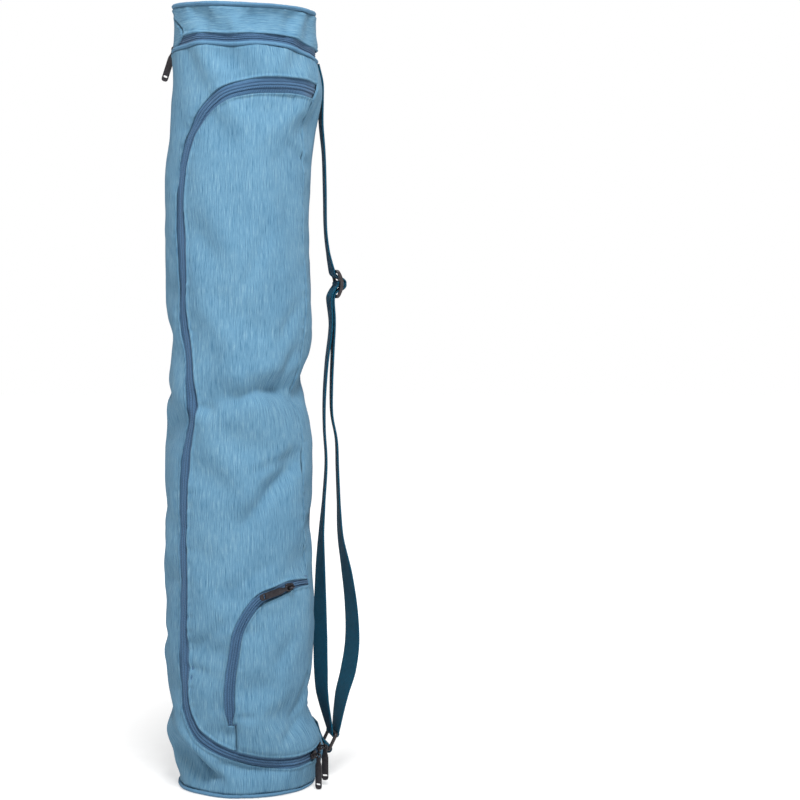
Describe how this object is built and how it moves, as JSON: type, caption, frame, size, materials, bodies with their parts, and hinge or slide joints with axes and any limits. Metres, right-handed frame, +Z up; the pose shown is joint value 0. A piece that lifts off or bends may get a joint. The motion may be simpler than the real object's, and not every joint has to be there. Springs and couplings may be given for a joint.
{
  "type": "yoga mat bag",
  "caption": "Tall round cloth bag for a rolled exercise mat, with a zipped front flap, a zipped pocket, a zipped lid and an adjustable shoulder strap.",
  "frame": {"origin": "middle of the base's underside, on the bag's axis, at floor level", "axes": "+Z up along the bag's length, front flap towards -Y, strap on the +X side"},
  "size_m": [0.1824, 0.1397, 0.7159],
  "materials": {
    "body_cloth": "heathered woven polyester, matt",
    "piping_cloth": "matt cord covered with the body's cloth",
    "zipper_tape": "woven tape with a covered coil, matt",
    "webbing": "ribbed woven webbing, slight sheen",
    "black_metal": "black, glossy where rubbed",
    "black_plastic": "moulded, half matt"
  },
  "bodies": {
    "bag": {"strap_panel": "body_cloth", "body_wrap": "body_cloth", "front_flap": "body_cloth", "main_zipper": "zipper_tape", "pocket_panel": "body_cloth", "pocket_zipper": "zipper_tape", "base_panel": "body_cloth", "base_piping": "piping_cloth", "seam_piping": "piping_cloth", "lid_zipper": "zipper_tape", "lid_band": "body_cloth", "lid_hinge": "body_cloth", "lid_top": "body_cloth", "rim_piping": "piping_cloth", "main_slider_lower": "black_metal", "main_slider_upper": "black_metal", "lid_slider": "black_metal", "pocket_slider": "black_metal", "strap_webbing": "webbing", "ring_tab": "webbing", "strap_ring": "black_plastic", "strap_adjuster": "black_plastic"},
    "main_pull_lower": {"main_pull_lower": "black_metal"},
    "main_pull_upper": {"main_pull_upper": "black_metal"},
    "lid_pull": {"lid_pull": "black_metal"},
    "pocket_pull": {"pocket_pull": "black_metal"}
  },
  "joints": [
    {"name": "main_pull_lower_swing", "type": "hinge", "parent": "bag", "child": "main_pull_lower", "pos_m": [0.06931, -0.03007, 0.03154], "axis": [-0.4228, -0.9062, 0], "range_deg": [-4, 110]},
    {"name": "main_pull_upper_swing", "type": "hinge", "parent": "bag", "child": "main_pull_upper", "pos_m": [0.07476, -0.01481, 0.03612], "axis": [-0.2076, -0.9782, 0], "range_deg": [-4, 110]},
    {"name": "lid_pull_swing", "type": "hinge", "parent": "bag", "child": "lid_pull", "pos_m": [-0.06434, 0.02257, 0.67917], "axis": [0.3256, 0.9455, 0], "range_deg": [0, 110]},
    {"name": "pocket_pull_swing", "type": "hinge", "parent": "bag", "child": "pocket_pull", "pos_m": [0.046, -0.05228, 0.19102], "axis": [-0.1716, -0.1105, 0.979], "range_deg": [0, 120]}
  ]
}
